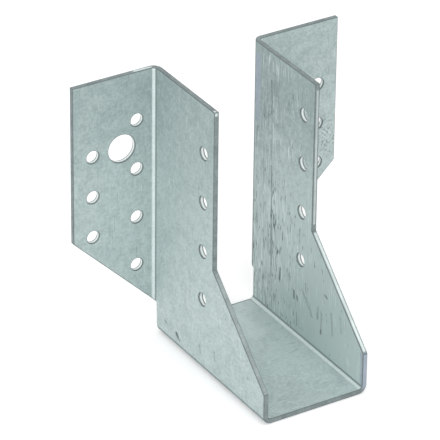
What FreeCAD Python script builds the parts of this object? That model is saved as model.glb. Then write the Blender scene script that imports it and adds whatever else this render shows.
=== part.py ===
import FreeCAD, Part
import math
import os

import Sketcher

# Joist hanger, punched and folded from one sheet of galvanised steel.
# It is drawn with X across the joist, the joist leaving towards -Y, the backs of the flanges on the
# header plane Y = 0, and Z = 0 at the underside of the seat. The finished body then moves forward by
# half its depth, so that its origin is the middle of its footprint. All sizes are millimetres.

DIMENSIONS = [
    ("sheet", 2.0, "thickness of the sheet"),
    ("bend_radius", 1.5, "radius inside every bend"),
    ("joist_width", 40.0, "clear width between the sides"),
    ("overall_height", 110.0, "seat underside to the top edge"),
    ("seat_depth", 78.0, "header plane to the front edge of the seat"),
    ("side_depth", 42.5, "header plane to the front edge of a side above its slope"),
    ("flange_width", 34.0, "outer face of a side to the outer edge of its flange"),
    ("stagger", 4.0, "height by which the right half's holes and cuts stand above the left half's"),
    ("slope_top", 48.0, "height where the front slope of a side starts, before the stagger"),
    ("slope_foot", 14.5, "height where the front slope meets the end of the seat"),
    ("flange_end_outer", 48.5, "height of a flange's lower end at its outer edge"),
    ("flange_end_inner", 13.0, "height of a flange's lower end at the side"),
    ("nail_diameter", 5.0, "nail holes"),
    ("nail_pitch", 20.0, "pitch of the column in a side and of the inner column in a flange"),
    ("nail_count", 4, "nail holes in each of those columns"),
    ("nail_top", 92.5, "height of the top nail hole of those columns"),
    ("side_nail_edge", 7.0, "front edge of a side to its column"),
    ("inner_nail_offset", 7.5, "outer face of a side to the inner column in its flange"),
    ("outer_nail_edge", 8.2, "outer edge of a flange to its outer column"),
    ("outer_nail_pitch", 16.5, "pitch of the outer column"),
    ("outer_nail_count", 3, "nail holes in the outer column"),
    ("outer_nail_top", 82.3, "height of the top nail hole of the outer column"),
    ("bolt_diameter", 11.0, "bolt holes"),
    ("bolt_offset", 13.8, "outer face of a side to the bolt hole"),
    ("bolt_height", 82.5, "height of the bolt holes"),
]
WORKED_OUT = [
    ("half_depth", "=seat_depth / 2", "header plane to the middle of the footprint"),
    ("half_pocket", "=joist_width / 2", "centre to the inner face of a side"),
    ("half_outside", "=half_pocket + sheet", "centre to the outer face of a side"),
    ("half_width", "=half_outside + flange_width", "centre to the outer edge of a flange"),
    ("bend_outside", "=bend_radius + sheet", "radius outside every bend"),
    ("stub_depth", "=bend_outside + sheet", "how far a flange's section laps its side"),
    ("cut_inner", "=half_pocket - sheet", "inner end of the cuts under the flanges"),
    ("cut_front", "=seat_depth + sheet", "front end of the cuts above the slopes"),
    ("cut_top", "=overall_height + sheet", "top of the cuts above the slopes"),
    ("inner_nail_x", "=half_outside + inner_nail_offset", "centre to a flange's inner column"),
    ("outer_nail_x", "=half_width - outer_nail_edge", "centre to a flange's outer column"),
    ("bolt_x", "=half_outside + bolt_offset", "centre to a bolt hole"),
    ("side_nail_y", "=side_depth - side_nail_edge", "header plane to a side's column"),
]
# These heights differ between the two halves by the stagger.
STAGGERED = (
    "slope_top",
    "slope_foot",
    "flange_end_outer",
    "flange_end_inner",
    "nail_top",
    "outer_nail_top",
    "bolt_height",
)
SIDES = {"left": "-", "right": ""}

doc = FreeCAD.newDocument("JoistHanger")
sheet_of_sizes = doc.addObject("Spreadsheet::Sheet", "Sizes")


def fill_sheet():
    rows = DIMENSIONS + WORKED_OUT
    for name in STAGGERED:
        rows.append((f"left_{name}", f"={name} - stagger / 2", f"{name} on the left"))
        rows.append((f"right_{name}", f"={name} + stagger / 2", f"{name} on the right"))
    for row, (alias, value, note) in enumerate(rows, start=1):
        sheet_of_sizes.set(f"A{row}", alias)
        sheet_of_sizes.set(f"B{row}", str(value))
        sheet_of_sizes.set(f"C{row}", note)
        sheet_of_sizes.setAlias(f"B{row}", alias)
    doc.recompute()


fill_sheet()
body = doc.addObject("PartDesign::Body", "HangerBody")
body.Label = "joist_hanger"
body.setExpression("Placement.Base.y", "Sizes.half_depth * 1 mm")


def value(term):
    """The size that a term such as "half_width", "-half_width" or "0" stands for."""
    if term == "0":
        return 0.0
    sign = -1.0 if term.startswith("-") else 1.0
    return sign * float(sheet_of_sizes.get(term.lstrip("-")))


def formula(term):
    """The same term as an expression on the sheet."""
    if term == "0":
        return "0 mm"
    sign = "-" if term.startswith("-") else ""
    return f"{sign}Sizes.{term.lstrip('-')} * 1 mm"


def origin_plane(role):
    for feature in body.Origin.OriginFeatures:
        if feature.Role == role:
            return feature
    raise ValueError(f"no origin plane {role}")


def new_sketch(name, role, offset=None):
    """A sketch on one of the body's origin planes, moved along the plane's normal by an offset."""
    sketch = body.newObject("Sketcher::SketchObject", name)
    sketch.AttachmentSupport = [(origin_plane(role), "")]
    sketch.MapMode = "FlatFace"
    if offset:
        sketch.setExpression("AttachmentOffset.Base.z", formula(offset))
    return sketch


def dimension(sketch, kind, geometry, point, amount, expression, label):
    """A named dimension bound to the sheet: a radius, or the X or Y of a point from the origin."""
    if kind == "Radius":
        sketch.addConstraint(Sketcher.Constraint(kind, geometry, amount))
    else:
        sketch.addConstraint(Sketcher.Constraint(kind, -1, 1, geometry, point, amount))
    sketch.renameConstraint(sketch.ConstraintCount - 1, label)
    sketch.setExpression(f"Constraints.{label}", expression)


def locate(sketch, geometry, point, x, y, label):
    """Fix a point at two terms, each a coordinate from the sketch's origin."""
    horizontal_axis, vertical_axis = -1, -2
    if x == "0":
        sketch.addConstraint(Sketcher.Constraint("PointOnObject", geometry, point, vertical_axis))
    else:
        dimension(sketch, "DistanceX", geometry, point, value(x), formula(x), f"{label}_x")
    if y == "0":
        sketch.addConstraint(Sketcher.Constraint("PointOnObject", geometry, point, horizontal_axis))
    else:
        dimension(sketch, "DistanceY", geometry, point, value(y), formula(y), f"{label}_y")


def locate_centre(sketch, arc, corner, towards, radius, label):
    """Fix the centre of a bend: the corner's own terms, moved inwards by the radius."""
    for kind, term, step, axis in zip(("DistanceX", "DistanceY"), corner, towards, "xy"):
        amount = value(term) + step * value(radius)
        sign = "+" if step > 0 else "-"
        text = f"{formula(term)} {sign} {formula(radius)}"
        dimension(sketch, kind, arc, 3, amount, text, f"{label}_{axis}")


def outline(sketch, corners, name):
    """A closed outline of straight runs. A corner is (x, y) where it is sharp and (x, y, radius)
    where the sheet bends, all of them terms of the sheet; runs beside a bend are square."""
    points = [FreeCAD.Vector(value(corner[0]), value(corner[1]), 0) for corner in corners]
    count = len(corners)
    ways = [(points[(i + 1) % count] - points[i]).normalize() for i in range(count)]
    starts = []
    ends = []
    for i, corner in enumerate(corners):
        radius = value(corner[2]) if len(corner) > 2 else 0.0
        starts.append(points[i] + ways[i] * radius)
        ends.append(points[i] - ways[i - 1] * radius)
    first = sketch.GeometryCount
    for i in range(count):
        sketch.addGeometry(Part.LineSegment(starts[i], ends[(i + 1) % count]), False)
    for i, corner in enumerate(corners):
        before, after = first + (i - 1) % count, first + i
        label = f"{name}{i + 1}"
        if len(corner) == 2:
            sketch.addConstraint(Sketcher.Constraint("Coincident", before, 2, after, 1))
            locate(sketch, after, 1, corner[0], corner[1], label)
            continue
        radius = value(corner[2])
        step = ways[i] - ways[i - 1]
        centre = points[i] + step * radius
        turns_left = ways[i - 1].cross(ways[i]).z > 0
        begin, finish = (ends[i], starts[i]) if turns_left else (starts[i], ends[i])
        begin_angle = math.atan2(begin.y - centre.y, begin.x - centre.x)
        finish_angle = math.atan2(finish.y - centre.y, finish.x - centre.x)
        circle = Part.Circle(centre, FreeCAD.Vector(0, 0, 1), radius)
        arc = sketch.addGeometry(Part.ArcOfCircle(circle, begin_angle, finish_angle), False)
        arrives, leaves = (1, 2) if turns_left else (2, 1)
        sketch.addConstraint(Sketcher.Constraint("Tangent", before, 2, arc, arrives))
        sketch.addConstraint(Sketcher.Constraint("Tangent", arc, leaves, after, 1))
        dimension(sketch, "Radius", arc, 0, radius, formula(corner[2]), f"{label}_radius")
        locate_centre(sketch, arc, corner[:2], (step.x, step.y), corner[2], label)


def punch_mark(sketch, x, y, diameter, name):
    """The circle of one hole."""
    centre = FreeCAD.Vector(value(x), value(y), 0)
    circle = Part.Circle(centre, FreeCAD.Vector(0, 0, 1), value(diameter) / 2)
    mark = sketch.addGeometry(circle, False)
    dimension(sketch, "Radius", mark, 0, circle.Radius, f"{formula(diameter)} / 2", f"{name}_radius")
    locate(sketch, mark, 3, x, y, name)


def finished(feature):
    """Recompute and stop at a feature that failed."""
    doc.recompute()
    if "Invalid" in feature.State or "Error" in feature.State:
        raise RuntimeError(f"{feature.Name} failed: {feature.State}")
    if feature.Shape.isNull() or not feature.Shape.isValid():
        raise RuntimeError(f"{feature.Name} has no valid shape")
    return feature


def pad(name, sketch, length):
    feature = body.newObject("PartDesign::Pad", name)
    feature.Profile = sketch
    feature.setExpression("Length", length)
    return finished(feature)


def cut(name, sketch, through="all", along_normal=False):
    """A pocket that goes on from the sketch: through everything there, or a term deep."""
    before = body.Shape.Volume
    feature = body.newObject("PartDesign::Pocket", name)
    feature.Profile = sketch
    feature.Reversed = along_normal
    if through == "both":
        feature.Type = "ThroughAll"
        feature.Midplane = True
    elif through == "all":
        feature.Type = "ThroughAll"
    else:
        feature.setExpression("Length", formula(through))
    finished(feature)
    if feature.Shape.Volume >= before:
        raise RuntimeError(f"{name} cuts nothing")
    return feature


def column(name, pocket, sketch, pitch, count):
    """Repeat a hole downwards."""
    feature = body.newObject("PartDesign::LinearPattern", name)
    feature.Originals = [pocket]
    feature.Direction = (sketch, ["V_Axis"])
    feature.Reversed = True
    feature.setExpression("Length", f"{formula(pitch)} * (Sizes.{count} - 1)")
    feature.setExpression("Occurrences", f"Sizes.{count}")
    body.Tip = feature
    return finished(feature)


# Seat and sides: one U section that starts where the flanges' bends end
channel_section = new_sketch("ChannelSection", "XZ_Plane", "bend_outside")
outline(
    channel_section,
    [
        ("-half_outside", "overall_height"),
        ("-half_outside", "0", "bend_outside"),
        ("half_outside", "0", "bend_outside"),
        ("half_outside", "overall_height"),
        ("half_pocket", "overall_height"),
        ("half_pocket", "sheet", "bend_radius"),
        ("-half_pocket", "sheet", "bend_radius"),
        ("-half_pocket", "overall_height"),
    ],
    "u",
)
pad("Channel", channel_section, "(Sizes.seat_depth - Sizes.bend_outside) * 1 mm")

# Flanges: an L section on each side, lapped into the side by its stub
flange_section = new_sketch("FlangeSection", "XY_Plane", "bend_outside")
for side, sign in SIDES.items():
    outline(
        flange_section,
        [
            (f"{sign}half_pocket", "-stub_depth"),
            (f"{sign}half_pocket", "0", "bend_outside"),
            (f"{sign}half_width", "0"),
            (f"{sign}half_width", "-sheet"),
            (f"{sign}half_outside", "-sheet", "bend_radius"),
            (f"{sign}half_outside", "-stub_depth"),
        ],
        side,
    )
pad("Flanges", flange_section, "(Sizes.overall_height - Sizes.bend_outside) * 1 mm")

# Slanted lower ends of the flanges, cut no deeper than the bends
flange_ends = new_sketch("FlangeEnds", "XZ_Plane")
for side, sign in SIDES.items():
    outline(
        flange_ends,
        [
            (f"{sign}half_width", f"{side}_flange_end_outer"),
            (f"{sign}half_pocket", f"{side}_flange_end_inner"),
            (f"{sign}cut_inner", f"{side}_flange_end_inner"),
            (f"{sign}cut_inner", "0"),
            (f"{sign}half_width", "0"),
        ],
        side,
    )
cut("FlangeEndCut", flange_ends, through="bend_outside", along_normal=True)

# Front edges of the sides: upright, a slope, and a short upright end beside the seat
for side in SIDES:
    front = new_sketch(f"{side.title()}Front", "YZ_Plane")
    outline(
        front,
        [
            ("-side_depth", "cut_top"),
            ("-side_depth", f"{side}_slope_top"),
            ("-seat_depth", f"{side}_slope_foot"),
            ("-cut_front", f"{side}_slope_foot"),
            ("-cut_front", "cut_top"),
        ],
        side,
    )
    cut(f"{side.title()}FrontCut", front, along_normal=(side == "right"))

# Holes in the flanges
inner_nails = new_sketch("InnerNails", "XZ_Plane")
outer_nails = new_sketch("OuterNails", "XZ_Plane")
bolts = new_sketch("Bolts", "XZ_Plane")
for side, sign in SIDES.items():
    punch_mark(inner_nails, f"{sign}inner_nail_x", f"{side}_nail_top", "nail_diameter", side)
    punch_mark(outer_nails, f"{sign}outer_nail_x", f"{side}_outer_nail_top", "nail_diameter", side)
    punch_mark(bolts, f"{sign}bolt_x", f"{side}_bolt_height", "bolt_diameter", side)
inner_nail_cut = cut("InnerNailCut", inner_nails, through="both")
column("InnerNailColumns", inner_nail_cut, inner_nails, "nail_pitch", "nail_count")
outer_nail_cut = cut("OuterNailCut", outer_nails, through="both")
column("OuterNailColumns", outer_nail_cut, outer_nails, "outer_nail_pitch", "outer_nail_count")
cut("BoltCut", bolts, through="both")

# Holes in the sides
for side in SIDES:
    side_nails = new_sketch(f"{side.title()}SideNails", "YZ_Plane")
    punch_mark(side_nails, "-side_nail_y", f"{side}_nail_top", "nail_diameter", side)
    nail_cut = cut(f"{side.title()}SideNailCut", side_nails, along_normal=(side == "right"))
    column(f"{side.title()}SideNailColumn", nail_cut, side_nails, "nail_pitch", "nail_count")

doc.recompute()
for item in doc.Objects:
    if "Invalid" in item.State or "Error" in item.State:
        raise RuntimeError(f"{item.Name} failed: {item.State}")
shape = body.Shape
if shape.isNull() or not shape.isValid() or len(shape.Solids) != 1:
    raise RuntimeError("the hanger is not one valid solid")

os.makedirs("parts", exist_ok=True)
shape.exportStep(os.path.join("parts", f"{body.Label}.step"))
print(f"{body.Label}: {len(shape.Solids)} solid, volume {shape.Volume:.1f} mm3, box {shape.BoundBox}")
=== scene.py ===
import math
from typing import NamedTuple

import bmesh
import bpy
from mathutils import Matrix, Vector
from mathutils.bvhtree import BVHTree


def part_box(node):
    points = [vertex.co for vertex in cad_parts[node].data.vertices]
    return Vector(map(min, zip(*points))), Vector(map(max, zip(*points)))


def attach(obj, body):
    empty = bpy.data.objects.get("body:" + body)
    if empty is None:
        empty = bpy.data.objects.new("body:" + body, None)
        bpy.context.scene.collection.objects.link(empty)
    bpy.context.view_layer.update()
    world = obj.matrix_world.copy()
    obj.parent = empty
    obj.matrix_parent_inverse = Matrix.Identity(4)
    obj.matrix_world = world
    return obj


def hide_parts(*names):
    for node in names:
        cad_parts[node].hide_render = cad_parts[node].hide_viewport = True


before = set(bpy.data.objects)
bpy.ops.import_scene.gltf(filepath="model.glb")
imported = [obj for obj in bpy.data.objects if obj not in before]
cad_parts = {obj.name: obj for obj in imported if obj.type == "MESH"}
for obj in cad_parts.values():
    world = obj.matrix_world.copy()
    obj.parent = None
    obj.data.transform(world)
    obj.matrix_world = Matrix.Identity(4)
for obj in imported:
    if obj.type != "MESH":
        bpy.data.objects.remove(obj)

bl_info = {
    "name": "Joist Hanger",
    "version": (1, 0, 0),
    "blender": (4, 5, 0),
    "location": "View3D > Sidebar > Joist Hanger",
    "description": "Dresses a folded joist hanger in galvanised steel and sets it in a pale studio",
    "category": "Object",
}

# Lengths are in metres, and in millimetres where the name ends in _MM or a comment says so
MM = 0.001
NODE = "joist_hanger"
BOX_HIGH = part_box(NODE)[1]
HALF_DEPTH_MM = BOX_HIGH.y / MM
SHEET_MM = 2.0
HALF_POCKET_MM = 20.0
SHEET = SHEET_MM * MM

# Faces of the piece by their material's place in the list
FACE, FOLD_INSIDE, FOLD_OUTSIDE, SHEARED, PUNCHED, WORN = range(6)

# What tells those faces apart
SAME_POINT = 0.001 * MM
SAME_PLANE = math.radians(0.2)
INSIDE_EDGE = 0.05 * MM
UNDER_FACE = 0.01 * MM
DEEPER_THAN_SHEET = 1.4 * SHEET
ROUND_WALL_TURNS = (math.radians(0.5), math.radians(25))
ALONG_AN_AXIS = 0.995
SHARP_EDGE = math.radians(40)
ROUNDING_STEPS = 2

# Floor and camera
FLOOR_SIZE = 8.0
FLOOR_GAP = 0.2 * MM
SENSOR_WIDTH_MM = 36.0
FAR_CLIP = 20.0
WHITE = (1.0, 1.0, 1.0)


class HangerSheetSettings(bpy.types.PropertyGroup):
    """Sizes and colours of the galvanised sheet."""

    edge_round: bpy.props.FloatProperty(
        name="Edge rounding",
        description="Width of the worn rounding along every cut edge",
        default=0.3 * MM,
        unit="LENGTH",
    )
    zinc_light: bpy.props.FloatVectorProperty(
        name="Light zinc",
        description="Colour of the zinc where its crystals look pale",
        default=(0.53, 0.625, 0.615),
        subtype="COLOR",
        size=3,
    )
    zinc_dark: bpy.props.FloatVectorProperty(
        name="Dark zinc",
        description="Colour of the zinc where its crystals look grey",
        default=(0.325, 0.41, 0.405),
        subtype="COLOR",
        size=3,
    )
    # Pale zinc: a painted highlight inside the folds and on cut edges that catch the light, and
    # burnished and rubbed zinc and pale cement specks elsewhere
    zinc_pale_and_highlight: bpy.props.FloatVectorProperty(
        name="Pressed zinc",
        description="Colour of the zinc where it is burnished: inside the folds and where it is rubbed",
        default=(0.70, 0.79, 0.78),
        subtype="COLOR",
        size=3,
    )
    zinc_bright: bpy.props.FloatVectorProperty(
        name="Punched zinc",
        description="Colour of the zinc that the punch has burnished in the walls of the holes",
        default=(0.90, 0.95, 0.94),
        subtype="COLOR",
        size=3,
    )
    # Dark zinc: painted shade in the corners of the folds, and the worn rims of the cut edges
    zinc_crease_shade_and_rim: bpy.props.FloatVectorProperty(
        name="Cracked zinc",
        description="Colour of the grime by the folds and of the zinc on the rounded rims",
        default=(0.20, 0.25, 0.25),
        subtype="COLOR",
        size=3,
    )
    zinc_thin: bpy.props.FloatVectorProperty(
        name="Thin zinc",
        description="Colour of the thin zinc that lies in patches on the cut edges",
        default=(0.30, 0.36, 0.36),
        subtype="COLOR",
        size=3,
    )
    bare_steel: bpy.props.FloatVectorProperty(
        name="Sheared steel",
        description="Colour of the cut edges where the zinc is gone",
        default=(0.11, 0.135, 0.14),
        subtype="COLOR",
        size=3,
    )
    # Also the colour of the painted shade at the hole rims and in the seat's back corner
    scratch: bpy.props.FloatVectorProperty(
        name="Scratches",
        description="Colour at the bottom of a scratch or drag line",
        default=(0.13, 0.165, 0.165),
        subtype="COLOR",
        size=3,
    )
    stain: bpy.props.FloatVectorProperty(
        name="Storage stain",
        description="Colour of the faint bluish bloom left by damp storage",
        default=(0.36, 0.41, 0.50),
        subtype="COLOR",
        size=3,
    )
    metallic: bpy.props.FloatProperty(
        name="Metallic",
        description="How far the dull zinc behaves as bare metal",
        default=0.3,
        min=0.0,
        max=1.0,
        subtype="FACTOR",
    )


class HangerStageSettings(bpy.types.PropertyGroup):
    """Camera, light and floor of the studio."""

    azimuth: bpy.props.FloatProperty(
        name="Azimuth",
        description="Way round the object from its front, negative towards its left",
        default=math.radians(-31.94),
        subtype="ANGLE",
    )
    elevation: bpy.props.FloatProperty(
        name="Elevation",
        description="Height above the horizon",
        default=math.radians(29.86),
        subtype="ANGLE",
    )
    roll: bpy.props.FloatProperty(
        name="Roll",
        description="Turn about the line of sight",
        default=math.radians(0.70),
        subtype="ANGLE",
    )
    distance: bpy.props.FloatProperty(
        name="Distance",
        description="Camera to the point it is aimed past",
        default=1.3993,
        unit="LENGTH",
    )
    lens: bpy.props.FloatProperty(
        name="Lens",
        description="Focal length in millimetres",
        default=316.5,
        unit="CAMERA",
    )
    pan_across: bpy.props.FloatProperty(
        name="Pan across",
        description="Camera moved to its own right of the line of sight",
        default=-9.6 * MM,
        unit="LENGTH",
    )
    pan_up: bpy.props.FloatProperty(
        name="Pan up",
        description="Camera moved up from the line of sight",
        default=3.84 * MM,
        unit="LENGTH",
    )
    world_strength: bpy.props.FloatProperty(
        name="World strength",
        description="Brightness of the even light from all round",
        default=0.75,
    )
    lamp_size: bpy.props.FloatProperty(
        name="Lamp size",
        description="Width of each round soft lamp",
        default=0.9,
        unit="LENGTH",
    )
    key_place: bpy.props.FloatVectorProperty(
        name="Key place",
        description="Where the lamp above the front left stands",
        default=(-0.62, -0.95, 0.85),
        subtype="TRANSLATION",
        unit="LENGTH",
        size=3,
    )
    key_power: bpy.props.FloatProperty(
        name="Key power",
        description="Power of the lamp above the front left",
        default=3.3,
        unit="POWER",
    )
    overhead_place: bpy.props.FloatVectorProperty(
        name="Overhead place",
        description="Where the lamp overhead hangs",
        default=(0.0, -0.3, 1.4),
        subtype="TRANSLATION",
        unit="LENGTH",
        size=3,
    )
    overhead_power: bpy.props.FloatProperty(
        name="Overhead power",
        description="Power of the lamp overhead",
        default=4.4,
        unit="POWER",
    )
    side_place: bpy.props.FloatVectorProperty(
        name="Side place",
        description="Where the low lamp on the left stands",
        default=(-1.1, -0.7, 0.25),
        subtype="TRANSLATION",
        unit="LENGTH",
        size=3,
    )
    side_power: bpy.props.FloatProperty(
        name="Side power",
        description="Power of the low lamp on the left",
        default=3.7,
        unit="POWER",
    )
    floor_colour: bpy.props.FloatVectorProperty(
        name="Floor colour",
        description="Colour of the floor",
        default=(0.86, 0.86, 0.86),
        subtype="COLOR",
        size=3,
    )
    floor_lift: bpy.props.FloatProperty(
        name="Floor lift",
        description="How far the floor is lifted to white where it is seen",
        default=0.28,
        min=0.0,
        max=1.0,
        subtype="FACTOR",
    )


# Node helpers


def plug(tree, given, socket):
    """Give a socket a value, or link it where an output is given."""
    if isinstance(given, bpy.types.NodeSocket):
        tree.links.new(given, socket)
    elif socket.type == "RGBA":
        socket.default_value = (*given, 1.0)
    else:
        socket.default_value = given


def add_node(tree, kind, **sockets):
    """A node whose sockets, named in words joined by underscores, get values or links."""
    node = tree.nodes.new(kind)
    for name, given in sockets.items():
        plug(tree, given, node.inputs[name.replace("_", " ")])
    return node


def use_group(tree, group, **sockets):
    """A node group placed in a tree, with its sockets given as in add_node."""
    node = tree.nodes.new("ShaderNodeGroup")
    node.node_tree = group
    for name, given in sockets.items():
        plug(tree, given, node.inputs[name.replace("_", " ")])
    return node


def calculate(tree, operation, *terms, clamp=False):
    """The output of a Math node."""
    node = tree.nodes.new("ShaderNodeMath")
    node.operation = operation
    node.use_clamp = clamp
    for socket, term in zip(node.inputs, terms):
        plug(tree, term, socket)
    return node.outputs["Value"]


def vector_math(tree, operation, *terms):
    """A Vector Math node."""
    node = tree.nodes.new("ShaderNodeVectorMath")
    node.operation = operation
    for socket, term in zip(node.inputs, terms):
        plug(tree, term, socket)
    return node


def move(tree, operation, *terms):
    """The vector that a Vector Math node gives."""
    return vector_math(tree, operation, *terms).outputs["Vector"]


def measure(tree, operation, *terms):
    """The number that a Vector Math node gives."""
    return vector_math(tree, operation, *terms).outputs["Value"]


def scaled(tree, vector, factor):
    """A vector times a number."""
    node = vector_math(tree, "SCALE", vector)
    plug(tree, factor, node.inputs["Scale"])
    return node.outputs["Vector"]


def parts_of(tree, vector):
    """A node with the X, Y and Z of a vector."""
    return add_node(tree, "ShaderNodeSeparateXYZ", Vector=vector)


def ramp(tree, value, low, high, to_low=0.0, to_high=1.0):
    """The value spread smoothly from low..high to to_low..to_high."""
    node = tree.nodes.new("ShaderNodeMapRange")
    node.interpolation_type = "SMOOTHSTEP"
    sockets = ("Value", "From Min", "From Max", "To Min", "To Max")
    for name, given in zip(sockets, (value, low, high, to_low, to_high)):
        plug(tree, given, node.inputs[name])
    return node.outputs["Result"]


def blend(tree, kind, factor, first, second):
    """Two colours (RGBA) or vectors (VECTOR) mixed by a factor."""
    node = tree.nodes.new("ShaderNodeMix")
    node.data_type = kind
    plug(tree, factor, node.inputs["Factor"])
    plug(tree, first, node.inputs["A"])
    plug(tree, second, node.inputs["B"])
    return node.outputs["Result"]


def painted(tree, ground, colour, mask):
    """A colour laid over another where a mask is 1."""
    return blend(tree, "RGBA", mask, ground, colour)


def noise(tree, place, size, detail=2.0, roughness=0.5):
    """Noise whose blobs are about size across, in the units of place."""
    node = add_node(tree, "ShaderNodeTexNoise", Vector=place, Detail=detail, Roughness=roughness)
    plug(tree, calculate(tree, "DIVIDE", 1.0, size), node.inputs["Scale"])
    return node.outputs["Fac"]


def new_group(name, inputs, outputs):
    """An empty node group with named sockets. Returns its tree, input node and output node."""
    tree = bpy.data.node_groups.new(name, "ShaderNodeTree")
    for label, kind, default in inputs:
        socket = tree.interface.new_socket(label, in_out="INPUT", socket_type=f"NodeSocket{kind}")
        if default is not None:
            socket.default_value = default
    for label, kind in outputs:
        tree.interface.new_socket(label, in_out="OUTPUT", socket_type=f"NodeSocket{kind}")
    return tree, tree.nodes.new("NodeGroupInput"), tree.nodes.new("NodeGroupOutput")


# Effects that several materials share, in millimetres

# Values between which noise mostly lies, and the middle of coloured noise
NOISE_LOW, NOISE_HIGH = 0.3, 0.7
NOISE_MIDDLE = (0.5, 0.5, 0.5)

# The mottle's three layers of noise, and each one's share of it
CLOUD_SIZE, CRYSTAL_SIZE, GRAIN_SIZE = 4.0, 1.15, 0.4
CLOUD_SHARE, CRYSTAL_SHARE, GRAIN_SHARE = 0.28, 0.48, 0.24


def mottle_group():
    """Cloudy grey of dipped zinc: faint clouds, crystals about a millimetre across, fine grain."""
    name = "Zinc mottle"
    if name in bpy.data.node_groups:
        return bpy.data.node_groups[name]
    tree, given, result = new_group(
        name,
        [
            ("Place", "Vector", None),
            ("Cloud size", "Float", CLOUD_SIZE),
            ("Crystal size", "Float", CRYSTAL_SIZE),
        ],
        [("Mask", "Float"), ("Grain", "Float")],
    )
    place = given.outputs["Place"]
    clouds = noise(tree, place, given.outputs["Cloud size"])
    crystals = noise(tree, place, given.outputs["Crystal size"], detail=3.0, roughness=0.65)
    grain = noise(tree, place, GRAIN_SIZE, detail=1.0)
    cloudy = ramp(tree, clouds, NOISE_LOW, NOISE_HIGH)
    crystalline = ramp(tree, crystals, NOISE_LOW, NOISE_HIGH)
    broad = calculate(tree, "MULTIPLY", cloudy, CLOUD_SHARE)
    middle = calculate(tree, "MULTIPLY", crystalline, CRYSTAL_SHARE)
    fine = calculate(tree, "MULTIPLY", grain, GRAIN_SHARE)
    both = calculate(tree, "ADD", broad, middle)
    tree.links.new(calculate(tree, "ADD", both, fine, clamp=True), result.inputs["Mask"])
    tree.links.new(grain, result.inputs["Grain"])
    return tree


# A streak shows where its noise passes the threshold, which patches of the sheet lower
STREAK_THRESHOLD, STREAK_SOFTNESS = 0.86, 0.07
STREAK_PATCH_SIZE = 9.0

# A face is level where its normal points up or down by more than this
LEVEL_FACE = 0.7


def streak_group():
    """Short drag lines along the way the strip was rolled: up the sides and across the seat."""
    name = "Rolling streaks"
    if name in bpy.data.node_groups:
        return bpy.data.node_groups[name]
    tree, given, result = new_group(
        name,
        [
            ("Place", "Vector", None),
            ("Normal", "Vector", None),
            ("Width", "Float", None),
            ("Length", "Float", None),
            ("Coverage", "Float", None),
        ],
        [("Mask", "Float")],
    )
    place, width = given.outputs["Place"], given.outputs["Width"]
    shrink = calculate(tree, "DIVIDE", width, given.outputs["Length"])
    up_the_sides = add_node(tree, "ShaderNodeCombineXYZ", X=1.0, Y=1.0, Z=shrink)
    across_the_seat = add_node(tree, "ShaderNodeCombineXYZ", X=shrink, Y=1.0, Z=1.0)
    upwards = parts_of(tree, given.outputs["Normal"]).outputs["Z"]
    level = calculate(tree, "GREATER_THAN", calculate(tree, "ABSOLUTE", upwards), LEVEL_FACE)
    stretch = blend(
        tree, "VECTOR", level, up_the_sides.outputs["Vector"], across_the_seat.outputs["Vector"]
    )
    lines = noise(tree, move(tree, "MULTIPLY", place, stretch), width, detail=0.4)
    patches = noise(tree, place, STREAK_PATCH_SIZE)
    lowered = calculate(tree, "MULTIPLY", patches, given.outputs["Coverage"])
    start = calculate(tree, "SUBTRACT", STREAK_THRESHOLD, lowered)
    end = calculate(tree, "ADD", start, STREAK_SOFTNESS)
    tree.links.new(ramp(tree, lines, start, end), result.inputs["Mask"])
    return tree


# How finely a mark wanders, and the noise between which it passes from faint to full
WOBBLES_PER_MM = 0.12
FAINT_BELOW, FULL_ABOVE = 0.35, 0.65


def unsteady_group():
    """What keeps marks from looking ruled: a place that wanders, and patches where they fade."""
    name = "Unsteady hand"
    if name in bpy.data.node_groups:
        return bpy.data.node_groups[name]
    tree, given, result = new_group(
        name,
        [
            ("Place", "Vector", None),
            ("Wander", "Float", None),
            ("Fade", "Float", None),
            ("Patch size", "Float", None),
        ],
        [("Place", "Vector"), ("Kept", "Float")],
    )
    place = given.outputs["Place"]
    wobble = add_node(tree, "ShaderNodeTexNoise", Vector=place, Scale=WOBBLES_PER_MM)
    centred = move(tree, "SUBTRACT", wobble.outputs["Color"], NOISE_MIDDLE)
    shift = scaled(tree, centred, given.outputs["Wander"])
    tree.links.new(move(tree, "ADD", place, shift), result.inputs["Place"])
    patches = noise(tree, place, given.outputs["Patch size"])
    faint = ramp(tree, patches, FAINT_BELOW, FULL_ABOVE, 1.0, 0.0)
    faded = calculate(tree, "MULTIPLY", faint, given.outputs["Fade"])
    tree.links.new(calculate(tree, "SUBTRACT", 1.0, faded), result.inputs["Kept"])
    return tree


# Share of a mark's width that has its full strength
MARK_CORE = 0.35


def mark_group():
    """One mark between two points: a scratch where it is narrow, a stain where it is wide."""
    name = "Mark"
    if name in bpy.data.node_groups:
        return bpy.data.node_groups[name]
    tree, given, result = new_group(
        name,
        [
            ("Place", "Vector", None),
            ("From", "Vector", None),
            ("To", "Vector", None),
            ("Width", "Float", None),
        ],
        [("Mask", "Float")],
    )
    run = move(tree, "SUBTRACT", given.outputs["To"], given.outputs["From"])
    whole = measure(tree, "DOT_PRODUCT", run, run)
    half = calculate(tree, "MULTIPLY", given.outputs["Width"], 0.5)
    core = calculate(tree, "MULTIPLY", half, MARK_CORE)
    reach = move(tree, "SUBTRACT", given.outputs["Place"], given.outputs["From"])
    along = measure(tree, "DOT_PRODUCT", reach, run)
    share = calculate(tree, "DIVIDE", along, whole, clamp=True)
    gap = measure(tree, "DISTANCE", reach, scaled(tree, run, share))
    tree.links.new(ramp(tree, gap, core, half, 1.0, 0.0), result.inputs["Mask"])
    return tree


# Marks of handling, painted highlights and painted shade, and changes of tone. A place is millimetres
# across from the middle, back from the header's face, and up from the underside.


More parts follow.
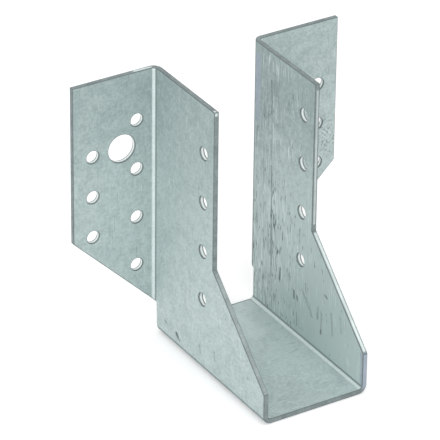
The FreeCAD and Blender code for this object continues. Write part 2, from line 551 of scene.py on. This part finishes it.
class Mark(NamedTuple):
    """One mark between two places, its width in millimetres, its strength up to 1."""

    name: str
    start: tuple
    end: tuple
    width: float
    strength: float


class Marks(NamedTuple):
    """Marks of one kind: how far they wander off their line, and how far and how patchily they fade."""

    wander: float
    fade: float
    patch_size: float
    rows: tuple


class Streaks(NamedTuple):
    """Drag lines of one kind: their size, their coverage, how much more of it where the sheet has
    been dragged, and their strength."""

    width: float
    length: float
    coverage: float
    where_dragged: float
    strength: float


class Fade(NamedTuple):
    """A number that changes smoothly between two places along an axis."""

    axis: str
    start: float
    end: float
    at_start: float
    at_end: float


RIGHT = HALF_POCKET_MM
LEFT = -HALF_POCKET_MM - SHEET_MM
SCRATCHES_AND_CORNER_SHADE = Marks(
    wander=0.6,
    fade=0.35,
    patch_size=4.0,
    rows=(
        Mark("drag line, upper part", (RIGHT, -14.0, 98.5), (RIGHT, -14.4, 85.0), 0.9, 0.75),
        Mark("drag line, middle part", (RIGHT, -14.5, 80.0), (RIGHT, -14.7, 66.0), 0.7, 0.6),
        Mark("drag line, lower part", (RIGHT, -14.8, 64.0), (RIGHT, -15.9, 18.0), 0.9, 0.8),
        Mark("drag line beside it", (RIGHT, -9.4, 70.0), (RIGHT, -9.7, 51.0), 0.6, 0.5),
        Mark("score across the side", (RIGHT, -5.0, 60.0), (RIGHT, -28.0, 52.5), 0.5, 0.35),
        Mark("dash low on the side", (RIGHT, -22.1, 24.0), (RIGHT, -21.7, 19.5), 1.7, 0.85),
        Mark("dash above the fold", (RIGHT, -31.6, 19.4), (RIGHT, -31.7, 16.4), 1.6, 0.85),
        Mark("dash beside it", (RIGHT, -33.7, 18.2), (RIGHT, -33.9, 16.6), 1.5, 0.75),
        Mark("slanting dash, upper part", (RIGHT, -37.0, 22.6), (RIGHT, -39.0, 20.4), 1.7, 0.4),
        Mark("slanting dash, middle part", (RIGHT, -39.6, 20.4), (RIGHT, -41.6, 17.2), 1.5, 0.35),
        Mark("slanting dash, lower part", (RIGHT, -42.6, 17.4), (RIGHT, -43.6, 15.0), 1.7, 0.4),
        Mark("dash towards the front", (RIGHT, -48.0, 20.6), (RIGHT, -47.6, 15.9), 1.8, 0.45),
        Mark("long dash in front of it", (RIGHT, -50.4, 19.1), (RIGHT, -50.1, 12.5), 1.4, 0.4),
        Mark("dot at its foot", (RIGHT, -50.2, 12.0), (RIGHT, -50.1, 10.8), 1.6, 0.85),
        Mark("nick under the slope", (RIGHT, -52.4, 28.0), (RIGHT, -53.6, 27.6), 1.5, 0.75),
        Mark("long dash at the front", (RIGHT, -56.7, 22.6), (RIGHT, -57.8, 14.0), 1.6, 0.4),
        Mark("faint dash at the front", (RIGHT, -62.7, 24.0), (RIGHT, -63.5, 18.0), 1.6, 0.28),
        Mark("nick by the lower corner", (LEFT, -17.9, 6.8), (LEFT, -18.9, 5.8), 2.4, 1.0),
        Mark("tail of the nick", (LEFT, -18.9, 5.8), (LEFT, -20.1, 5.0), 1.3, 0.8),
        Mark("nick beside it", (LEFT, -9.7, 8.0), (LEFT, -10.6, 7.7), 1.6, 0.7),
        Mark("score low on the left side", (LEFT, -34.0, 10.5), (LEFT, -34.5, 7.2), 1.1, 0.5),
        Mark("score in front of it", (LEFT, -44.2, 12.7), (LEFT, -44.6, 9.1), 1.1, 0.45),
        Mark("dot at the front", (LEFT, -66.7, 14.0), (LEFT, -67.1, 13.5), 1.4, 0.5),
        # Painted shade in the seat's back corner by the right side, and a dark line along the seat's
        # back
        Mark("grime along the seat's back", (-14.0, -4.0, SHEET_MM), (19.0, -4.0, SHEET_MM), 1.4, 0.75),
        Mark("grime in the back corner", (19.0, -4.0, SHEET_MM), (19.2, -9.0, SHEET_MM), 2.4, 0.5),
    ),
)
STAINS = Marks(
    wander=3.0,
    fade=0.3,
    patch_size=30.0,
    rows=(
        Mark("bloom by the right fold", (RIGHT, -4.3, 104.0), (RIGHT, -4.3, 80.0), 7.0, 0.75),
        Mark("bloom at the right front", (20.5, -78.5, 15.0), (20.5, -78.5, 4.0), 6.0, 0.9),
    ),
)
# The pale patch on the seat is painted light; the rub beside the nick is wear
PALE_PATCHES = Marks(
    wander=3.0,
    fade=0.3,
    patch_size=40.0,
    rows=(
        Mark("pale patch on the seat", (3.0, -7.0, SHEET_MM), (7.0, -24.0, SHEET_MM), 15.0, 0.35),
        Mark("rub beside the nick", (LEFT, -20.0, 9.8), (LEFT, -20.8, 7.1), 1.2, 0.7),
    ),
)
SPATTERS = Marks(
    wander=3.0,
    fade=0.3,
    patch_size=40.0,
    rows=(
        Mark("cement on the right flange", (50.0, -SHEET_MM, 66.0), (53.0, -SHEET_MM, 57.0), 13.0, 0.8),
    ),
)
# Painted highlights: pale zinc on the cut edges where they catch the light
EDGE_HIGHLIGHTS = Marks(
    wander=0.3,
    fade=0.25,
    patch_size=8.0,
    rows=(
        Mark("slope of the right side", (21.0, -43.5, 49.2), (21.0, -77.0, 17.4), 1.6, 1.0),
        Mark("front of the right side", (21.0, -42.5, 107.0), (21.0, -42.5, 53.0), 1.3, 0.6),
        Mark("top of the left fold", (-30.0, -1.0, 110.0), (-23.5, -1.4, 110.0), 1.6, 0.9),
        Mark("corner of the left side", (-21.2, -41.6, 110.0), (-21.2, -42.5, 109.0), 1.8, 0.9),
        Mark("slope of the left side", (-21.0, -44.5, 44.2), (-21.0, -77.0, 13.4), 4.0, 0.2),
    ),
)

HAIRLINES = Streaks(width=0.3, length=10.0, coverage=0.28, where_dragged=0.34, strength=0.38)
RUBBED_LINES = Streaks(width=0.45, length=6.0, coverage=0.24, where_dragged=0.36, strength=0.75)
DASHES = Streaks(width=0.55, length=3.2, coverage=0.10, where_dragged=0.31, strength=0.85)

# How much paler than the rest a stretch is, where 1 is from dark to light zinc; all but the right
# flange's are painted light and shade
# Painted shade: the upper end of the sheet darker
UPPER_END_PAINTED_SHADE = Fade("Z", 55.0, 108.0, at_start=0.14, at_end=-0.32)
# Painted light: the inner sides paler low down, with painted shade near their top
INNER_SIDE_PAINTED_LIGHT = Fade("Z", 15.0, 105.0, at_start=0.80, at_end=-0.15)
# Painted light: the seat darker on its left and paler towards its back and its right
SEAT_PAINTED_LIGHT_BACKWARDS = Fade("Y", -71.0, -48.0, at_start=0.0, at_end=0.28)
SEAT_PAINTED_LIGHT_RIGHTWARDS = Fade("X", -8.0, 16.0, at_start=-0.18, at_end=0.04)
RIGHT_FLANGE = 0.26

# Where the inside of the pocket has been dragged over other hangers
DRAGGED_UPWARDS = Fade("Z", 46.0, 64.0, at_start=1.0, at_end=0.5)
DRAGGED_BACKWARDS = Fade("Y", -42.0, -22.0, at_start=0.4, at_end=1.0)
NEAR_THE_HEADER = Fade("Y", -24.0, -12.0, at_start=0.0, at_end=1.0)

# Planes in the middle of the sheet, and planes just past its faces
MIDDLE_OF_SIDE = HALF_POCKET_MM + SHEET_MM / 2
MIDDLE_OF_FLANGE = HALF_DEPTH_MM - SHEET_MM / 2
PAST_THE_SIDE = HALF_POCKET_MM + 1.1 * SHEET_MM
ABOVE_THE_SEAT = 1.1 * SHEET_MM

# Cement: dark specks and pale ones, each where its own noise is high
SPECK_SIZE, SPECK_LOW, SPECK_HIGH = 1.0, 0.54, 0.62
LIME_SIZE, LIME_LOW, LIME_HIGH = 0.9, 0.58, 0.66
ELSEWHERE = (31.0, 17.0, 0.0)

# Roughness of dark and of light zinc, and how much rougher a scratch is
DARK_ROUGH, LIGHT_ROUGH, SCRATCH_ROUGH = 0.62, 0.50, 0.15

# Painted shade in the corner of a fold, by how far its face turns towards the side
CREASE_SHADE_FROM, CREASE_SHADE_TO, CREASE_SHADE_STRENGTH = 0.74, 0.90, 0.92

# Painted shade on a hole's wall by each face of the sheet, by the distance from the middle of the sheet
LIP_SHADE_FROM, LIP_SHADE_TO, LIP_SHADE_STRENGTH = 0.3, 0.55, 0.9


def in_row(place):
    """A place as the lists above give it, in the row's own axes and still in millimetres."""
    x, y, z = place
    return (x, y + HALF_DEPTH_MM, z)


def fade(tree, where, rule):
    """The number that a Fade gives at a place."""
    shift = HALF_DEPTH_MM if rule.axis == "Y" else 0.0
    start, end = rule.start + shift, rule.end + shift
    return ramp(tree, where.outputs[rule.axis], start, end, rule.at_start, rule.at_end)


def marks_mask(tree, place, marks):
    """Where any mark of one kind lies, each as strong as its row says."""
    hand = use_group(
        tree,
        unsteady_group(),
        Place=place,
        Wander=marks.wander,
        Fade=marks.fade,
        Patch_size=marks.patch_size,
    )
    mask = 0.0
    for row in marks.rows:
        mark = use_group(tree, mark_group(), Place=hand.outputs["Place"], Width=row.width)
        plug(tree, in_row(row.start), mark.inputs["From"])
        plug(tree, in_row(row.end), mark.inputs["To"])
        strong = calculate(tree, "MULTIPLY", mark.outputs["Mask"], row.strength)
        mask = calculate(tree, "MAXIMUM", mask, strong)
    return calculate(tree, "MULTIPLY", mask, hand.outputs["Kept"])


def streaks_mask(tree, place, normal, streaks, dragged):
    """Where drag lines of one kind lie."""
    lines = use_group(
        tree,
        streak_group(),
        Place=place,
        Normal=normal,
        Width=streaks.width,
        Length=streaks.length,
        Coverage=calculate(tree, "MULTIPLY_ADD", dragged, streaks.where_dragged, streaks.coverage),
    )
    return calculate(tree, "MULTIPLY", lines.outputs["Mask"], streaks.strength)


# Materials


class Draft(NamedTuple):
    """A material in the making: its shader, and the place and normal on the object."""

    material: bpy.types.Material
    tree: bpy.types.NodeTree
    shader: bpy.types.Node
    place: bpy.types.NodeSocket
    normal: bpy.types.NodeSocket


def new_draft(name):
    """A new material with a Principled shader, and object coordinates in millimetres."""
    material = bpy.data.materials.new(name)
    material.use_nodes = True
    tree = material.node_tree
    tree.nodes.clear()
    output = tree.nodes.new("ShaderNodeOutputMaterial")
    shader = tree.nodes.new("ShaderNodeBsdfPrincipled")
    tree.links.new(shader.outputs["BSDF"], output.inputs["Surface"])
    coordinates = tree.nodes.new("ShaderNodeTexCoord")
    place = scaled(tree, coordinates.outputs["Object"], 1 / MM)
    return Draft(material, tree, shader, place, coordinates.outputs["Normal"])


def emboss(draft, height, strength, depth_mm):
    """Raise the surface by a height between 0 and 1."""
    bump = add_node(
        draft.tree, "ShaderNodeBump", Height=height, Strength=strength, Distance=depth_mm * MM
    )
    draft.tree.links.new(bump.outputs["Normal"], draft.shader.inputs["Normal"])


def tone_and_painted_light(tree, where, inner_side, on_seat):
    """How much paler than the rest the zinc is: painted shade at the upper end, painted light low down
    on the inner sides and at the back and right of the seat, and paler on the right flange."""
    tone = fade(tree, where, UPPER_END_PAINTED_SHADE)
    side = fade(tree, where, INNER_SIDE_PAINTED_LIGHT)
    tone = calculate(tree, "MULTIPLY_ADD", inner_side, side, tone)
    backwards = fade(tree, where, SEAT_PAINTED_LIGHT_BACKWARDS)
    rightwards = fade(tree, where, SEAT_PAINTED_LIGHT_RIGHTWARDS)
    seat = calculate(tree, "ADD", backwards, rightwards)
    tone = calculate(tree, "MULTIPLY_ADD", on_seat, seat, tone)
    right_flange = calculate(tree, "GREATER_THAN", where.outputs["X"], PAST_THE_SIDE)
    return calculate(tree, "MULTIPLY_ADD", right_flange, RIGHT_FLANGE, tone)


def spattered(draft, zinc, aside, settings):
    """The zinc with specks of cement, which lie on the front of the flange only."""
    tree = draft.tree
    spatter = marks_mask(tree, draft.place, SPATTERS)
    facing = parts_of(tree, draft.normal)
    in_front = calculate(tree, "LESS_THAN", facing.outputs["Y"], 0.0)
    spatter = calculate(tree, "MULTIPLY", spatter, in_front)
    specks = ramp(tree, noise(tree, draft.place, SPECK_SIZE, detail=1.0), SPECK_LOW, SPECK_HIGH)
    lime = ramp(tree, noise(tree, aside, LIME_SIZE, detail=1.0), LIME_LOW, LIME_HIGH)
    zinc = painted(tree, zinc, settings.zinc_pale_and_highlight, calculate(tree, "MULTIPLY", spatter, lime))
    return painted(tree, zinc, settings.scratch, calculate(tree, "MULTIPLY", spatter, specks))


def face_material(settings):
    """The dipped faces: mottled zinc with painted light and shade by place, drag lines inside the
    pocket, single marks, some of them painted light and shade, and stains.
    """
    draft = new_draft("Galvanised face")
    tree, place, normal = draft.tree, draft.place, draft.normal
    where = parts_of(tree, place)
    from_middle = calculate(tree, "ABSOLUTE", where.outputs["X"])
    inside = calculate(tree, "LESS_THAN", from_middle, MIDDLE_OF_SIDE)
    above_seat = calculate(tree, "GREATER_THAN", where.outputs["Z"], ABOVE_THE_SEAT)
    inner_side = calculate(tree, "MULTIPLY", inside, above_seat)
    on_seat = calculate(tree, "SUBTRACT", inside, inner_side)

    mottle = use_group(tree, mottle_group(), Place=place).outputs["Mask"]
    # Painted light and shade by place, added to the zinc's mottle
    tone = calculate(tree, "ADD", tone_and_painted_light(tree, where, inner_side, on_seat), mottle)
    zinc = painted(tree, settings.zinc_dark, settings.zinc_light, tone)

    low_down = calculate(tree, "MULTIPLY", inner_side, fade(tree, where, DRAGGED_UPWARDS))
    dragged = calculate(tree, "MULTIPLY", low_down, fade(tree, where, DRAGGED_BACKWARDS))
    near_header = calculate(tree, "MULTIPLY", inner_side, fade(tree, where, NEAR_THE_HEADER))
    aside = move(tree, "ADD", place, ELSEWHERE)
    hairlines = streaks_mask(tree, place, normal, HAIRLINES, near_header)
    rubbed = streaks_mask(tree, aside, normal, RUBBED_LINES, dragged)
    dashes = streaks_mask(tree, place, normal, DASHES, dragged)
    zinc = painted(tree, zinc, settings.scratch, hairlines)
    zinc = painted(tree, zinc, settings.zinc_pale_and_highlight, rubbed)
    zinc = painted(tree, zinc, settings.scratch, dashes)

    # Painted light on the seat, and a rub by the nick
    zinc = painted(tree, zinc, settings.zinc_pale_and_highlight, marks_mask(tree, place, PALE_PATCHES))
    zinc = painted(tree, zinc, settings.stain, marks_mask(tree, place, STAINS))
    zinc = spattered(draft, zinc, aside, settings)
    # Scratches, and the painted shade in the seat's back corner
    scratches_and_corner_shade = marks_mask(tree, place, SCRATCHES_AND_CORNER_SHADE)
    zinc = painted(tree, zinc, settings.scratch, scratches_and_corner_shade)
    tree.links.new(zinc, draft.shader.inputs["Base Color"])

    dug = calculate(tree, "MAXIMUM", calculate(tree, "MAXIMUM", hairlines, dashes), scratches_and_corner_shade)
    rough = ramp(tree, mottle, 0.0, 1.0, DARK_ROUGH, LIGHT_ROUGH)
    rough = calculate(tree, "MULTIPLY_ADD", dug, SCRATCH_ROUGH, rough)
    tree.links.new(rough, draft.shader.inputs["Roughness"])
    draft.shader.inputs["Metallic"].default_value = settings.metallic
    emboss(draft, calculate(tree, "SUBTRACT", mottle, dug), strength=0.35, depth_mm=0.04)
    return draft.material


def narrow_draft(name, settings, colours, roughness, crystal_size):
    """A narrow strip of the sheet, mottled between two colours. Returns its draft and its colour."""
    draft = new_draft(name)
    mottle = use_group(draft.tree, mottle_group(), Place=draft.place, Crystal_size=crystal_size)
    colour = painted(draft.tree, *colours, mottle.outputs["Mask"])
    draft.tree.links.new(colour, draft.shader.inputs["Base Color"])
    draft.shader.inputs["Metallic"].default_value = settings.metallic
    draft.shader.inputs["Roughness"].default_value = roughness
    emboss(draft, mottle.outputs["Grain"], strength=0.3, depth_mm=0.03)
    return draft, colour


def fold_inside_material(settings):
    """Inside a fold: a painted highlight along the flange or seat, with painted shade in the corner by
    the side.
    """
    # The paler zinc here is a painted highlight along the fold
    colours = (settings.zinc_light, settings.zinc_pale_and_highlight)
    draft, zinc = narrow_draft(
        "Fold insides with painted highlight and shade", settings, colours, roughness=0.38, crystal_size=0.9
    )
    tree = draft.tree
    towards_side = calculate(tree, "ABSOLUTE", parts_of(tree, draft.normal).outputs["X"])
    # Painted shade in the crease by the side plate
    darkening = ramp(tree, towards_side, CREASE_SHADE_FROM, CREASE_SHADE_TO, 0.0, CREASE_SHADE_STRENGTH)
    zinc = painted(tree, zinc, settings.zinc_crease_shade_and_rim, darkening)
    tree.links.new(zinc, draft.shader.inputs["Base Color"])
    return draft.material


def fold_outside_material(settings):
    """Outside a fold: zinc that folding has stretched and cracked, dark with handling."""
    colours = (settings.scratch, settings.zinc_dark)
    draft, _ = narrow_draft(
        "Cracked zinc outside the folds", settings, colours, roughness=0.55, crystal_size=0.9
    )
    return draft.material


def sheared_material(settings):
    """A cut edge: thin dull zinc over sheared steel, with painted highlights where it faces the light.
    """
    colours = (settings.bare_steel, settings.zinc_thin)
    draft, steel = narrow_draft("Sheared edge", settings, colours, roughness=0.5, crystal_size=0.6)
    tree = draft.tree
    steel = painted(tree, steel, settings.stain, marks_mask(tree, draft.place, STAINS))
    # Painted highlights where the edge catches the light
    steel = painted(tree, steel, settings.zinc_pale_and_highlight, marks_mask(tree, draft.place, EDGE_HIGHLIGHTS))
    tree.links.new(steel, draft.shader.inputs["Base Color"])
    return draft.material


def punched_material(settings):
    """The wall of a hole: burnished bright by the punch, with painted shade at each face of the sheet.
    """
    colours = (settings.zinc_pale_and_highlight, settings.zinc_bright)
    draft, zinc = narrow_draft(
        "Burnished hole walls with painted rim shade", settings, colours, roughness=0.35, crystal_size=0.5
    )
    tree = draft.tree
    where = parts_of(tree, draft.place)
    from_middle = calculate(tree, "ABSOLUTE", where.outputs["X"])
    through_side = calculate(tree, "SUBTRACT", from_middle, MIDDLE_OF_SIDE)
    through_flange = calculate(tree, "SUBTRACT", where.outputs["Y"], MIDDLE_OF_FLANGE)
    off_side = calculate(tree, "ABSOLUTE", through_side)
    off_flange = calculate(tree, "ABSOLUTE", through_flange)
    off_middle = calculate(tree, "MINIMUM", off_side, off_flange)
    # Painted shade on the wall by the rims
    painted_lip_shade = ramp(tree, off_middle, LIP_SHADE_FROM, LIP_SHADE_TO, 0.0, LIP_SHADE_STRENGTH)
    tree.links.new(painted(tree, zinc, settings.scratch, painted_lip_shade), draft.shader.inputs["Base Color"])
    return draft.material


def worn_material(settings):
    """The rounding along the cut edges, where handling has taken most of the zinc."""
    colours = (settings.bare_steel, settings.zinc_crease_shade_and_rim)
    draft, _ = narrow_draft("Worn edge", settings, colours, roughness=0.45, crystal_size=0.7)
    return draft.material


def sheet_materials(settings):
    """The piece's materials in the order of their places in the list."""
    return (
        face_material(settings),
        fold_inside_material(settings),
        fold_outside_material(settings),
        sheared_material(settings),
        punched_material(settings),
        worn_material(settings),
    )


# The folded sheet's mesh


def point_on(face):
    """A point just inside the face's longest edge, since the middle of a face can lie in a hole."""
    longest = max(face.loops, key=lambda loop: loop.edge.calc_length())
    start, end = longest.vert.co, longest.link_loop_next.vert.co
    inward = face.normal.cross(end - start).normalized()
    return (start + end) / 2 + inward * INSIDE_EDGE


def sort_faces(mesh):
    """Give each face its material: behind a cut face the steel is thicker than the sheet, the wall
    of a hole turns a little from face to face, and a face of a fold points along no axis."""
    tree = BVHTree.FromBMesh(mesh)
    least_turn, most_turn = ROUND_WALL_TURNS
    for face in mesh.faces:
        start = point_on(face) - face.normal * UNDER_FACE
        hit, _, _, depth = tree.ray_cast(start, -face.normal)
        turns = [abs(edge.calc_face_angle_signed()) for edge in face.edges]
        if hit is None or depth > DEEPER_THAN_SHEET:
            round_wall = any(least_turn < turn < most_turn for turn in turns)
            face.material_index = PUNCHED if round_wall else SHEARED
        elif max(abs(part) for part in face.normal) > ALONG_AN_AXIS:
            face.material_index = FACE
        elif any(edge.calc_face_angle_signed() < 0 for edge in face.edges):
            face.material_index = FOLD_INSIDE
        else:
            face.material_index = FOLD_OUTSIDE


def round_edges(mesh, width):
    """Round every cut edge, and mark the rounding as worn."""
    sharp = [edge for edge in mesh.edges if edge.calc_face_angle() > SHARP_EDGE]
    bmesh.ops.bevel(
        mesh,
        geom=sharp,
        offset=width,
        segments=ROUNDING_STEPS,
        profile=0.5,
        affect="EDGES",
        material=WORN,
    )
    mesh.normal_update()


def corner_normals(mesh):
    """A normal for each corner, from the flat faces that meet there or else from the curved ones,
    so that flat faces shade flat right up to a rounding."""
    curvature = {FACE: 0, SHEARED: 0, FOLD_INSIDE: 1, FOLD_OUTSIDE: 1, PUNCHED: 1, WORN: 2}
    normals = []
    for corner in mesh.verts:
        flattest = min(curvature[face.material_index] for face in corner.link_faces)
        total = Vector()
        for face in corner.link_faces:
            if curvature[face.material_index] == flattest:
                total += face.normal * face.calc_area() / MM**2
        normals.append(total.normalized())
    return normals


def folded_sheet_mesh(width):
    """The node's own shape with its faces sorted and its cut edges rounded."""
    shape = bmesh.new()
    shape.from_mesh(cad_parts[NODE].data)
    bmesh.ops.remove_doubles(shape, verts=shape.verts, dist=SAME_POINT)
    bmesh.ops.dissolve_limit(shape, angle_limit=SAME_PLANE, verts=shape.verts, edges=shape.edges)
    shape.normal_update()
    sort_faces(shape)
    round_edges(shape, width)
    for face in shape.faces:
        face.smooth = True
    normals = corner_normals(shape)
    mesh = bpy.data.meshes.new("folded_sheet")
    shape.to_mesh(mesh)
    shape.free()
    mesh.normals_split_custom_set_from_vertices(normals)
    return mesh


class HANGER_OT_sheet(bpy.types.Operator):
    """Build the hanger's folded sheet with rounded edges and its zinc finish"""

    bl_idname = "hanger.sheet"
    bl_label = "Folded Sheet"

    def execute(self, context):
        settings = context.scene.hanger_sheet
        mesh = folded_sheet_mesh(settings.edge_round)
        for material in sheet_materials(settings):
            mesh.materials.append(material)
        piece = bpy.data.objects.new("folded_sheet", mesh)
        context.scene.collection.objects.link(piece)
        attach(piece, "root")
        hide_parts(NODE)
        return {"FINISHED"}


# The studio


def seen_directly(tree):
    """1 for the camera and for what metal mirrors, 0 for the light on the object."""
    path = tree.nodes.new("ShaderNodeLightPath")
    seen = calculate(tree, "ADD", path.outputs["Is Camera Ray"], path.outputs["Is Glossy Ray"])
    return calculate(tree, "ADD", seen, path.outputs["Is Transmission Ray"], clamp=True)


def build_floor(settings):
    """A pale floor that keeps the object's shadow, a hair below the underside it carries."""
    bpy.ops.mesh.primitive_plane_add(size=FLOOR_SIZE, location=(0, 0, -FLOOR_GAP))
    floor = bpy.context.object
    floor.name = "floor"
    draft = new_draft("Pale floor")
    plug(draft.tree, settings.floor_colour, draft.shader.inputs["Base Color"])
    plug(draft.tree, WHITE, draft.shader.inputs["Emission Color"])
    draft.shader.inputs["Roughness"].default_value = 0.9
    draft.shader.inputs["Specular IOR Level"].default_value = 0.1
    lift = calculate(draft.tree, "MULTIPLY", seen_directly(draft.tree), settings.floor_lift)
    draft.tree.links.new(lift, draft.shader.inputs["Emission Strength"])
    floor.data.materials.append(draft.material)


def build_world(scene, settings):
    """An even pale world, white where it is seen."""
    world = bpy.data.worlds.new("Studio")
    scene.world = world
    world.use_nodes = True
    tree = world.node_tree
    background = tree.nodes["Background"]
    plug(tree, WHITE, background.inputs["Color"])
    strength = ramp(tree, seen_directly(tree), 0.0, 1.0, settings.world_strength, 1.0)
    tree.links.new(strength, background.inputs["Strength"])


def build_lamp(scene, name, place, power, size):
    """A broad soft lamp aimed at the middle of the object."""
    lamp = bpy.data.lights.new(name, "AREA")
    lamp.shape = "DISK"
    lamp.size = size
    lamp.energy = power
    holder = bpy.data.objects.new(name, lamp)
    holder.location = place
    aim = Vector((0, 0, BOX_HIGH.z / 2)) - holder.location
    holder.rotation_euler = aim.to_track_quat("-Z", "Y").to_euler()
    scene.collection.objects.link(holder)


# The place that the camera is aimed past, given as in the lists of marks
AIM = (0.0, -30.0, 50.0)


def build_camera(scene, settings):
    """The camera at the photograph's angle, with its own axes turned by the roll."""
    turn, rise, roll = settings.azimuth, settings.elevation, settings.roll
    back = Vector((math.sin(turn) * math.cos(rise), -math.cos(turn) * math.cos(rise), math.sin(rise)))
    level = Vector((0, 0, 1)).cross(back).normalized()
    upright = back.cross(level)
    across = level * math.cos(roll) + upright * math.sin(roll)
    above = upright * math.cos(roll) - level * math.sin(roll)
    place = Vector(in_row(AIM)) * MM + back * settings.distance
    place += across * settings.pan_across + above * settings.pan_up
    camera = bpy.data.cameras.new("Camera")
    camera.sensor_width = SENSOR_WIDTH_MM
    camera.lens = settings.lens
    camera.clip_end = FAR_CLIP
    holder = bpy.data.objects.new("Camera", camera)
    facing = Matrix((across, above, back)).transposed().to_4x4()
    holder.matrix_world = Matrix.Translation(place) @ facing
    scene.collection.objects.link(holder)
    scene.camera = holder


class HANGER_OT_stage(bpy.types.Operator):
    """Set the pale floor, the soft lights and the camera"""

    bl_idname = "hanger.stage"
    bl_label = "Studio"

    def execute(self, context):
        scene = context.scene
        settings = scene.hanger_stage
        build_floor(settings)
        build_world(scene, settings)
        for name, place, power in (
            ("Key", settings.key_place, settings.key_power),
            ("Overhead", settings.overhead_place, settings.overhead_power),
            ("Side", settings.side_place, settings.side_power),
        ):
            build_lamp(scene, name, place, power, settings.lamp_size)
        build_camera(scene, settings)
        scene.view_settings.view_transform = "Standard"
        return {"FINISHED"}


class HANGER_PT_panel(bpy.types.Panel):
    """The hanger's sheet and its studio"""

    bl_idname = "HANGER_PT_panel"
    bl_label = "Joist Hanger"
    bl_space_type = "VIEW_3D"
    bl_region_type = "UI"
    bl_category = "Joist Hanger"

    def draw(self, context):
        for operator, settings in (
            (HANGER_OT_sheet, context.scene.hanger_sheet),
            (HANGER_OT_stage, context.scene.hanger_stage),
        ):
            box = self.layout.box()
            box.operator(operator.bl_idname)
            for name in settings.__annotations__:
                box.prop(settings, name)


CLASSES = (
    HangerSheetSettings,
    HangerStageSettings,
    HANGER_OT_sheet,
    HANGER_OT_stage,
    HANGER_PT_panel,
)


def register():
    """Register the classes and hang their settings on the scene."""
    for item in CLASSES:
        bpy.utils.register_class(item)
    bpy.types.Scene.hanger_sheet = bpy.props.PointerProperty(type=HangerSheetSettings)
    bpy.types.Scene.hanger_stage = bpy.props.PointerProperty(type=HangerStageSettings)


def unregister():
    """Undo register."""
    del bpy.types.Scene.hanger_stage
    del bpy.types.Scene.hanger_sheet
    for item in reversed(CLASSES):
        bpy.utils.unregister_class(item)


def main():
    """Build the piece and the studio."""
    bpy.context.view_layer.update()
    register()
    bpy.ops.hanger.sheet()
    bpy.ops.hanger.stage()


if __name__ == "__main__":
    main()
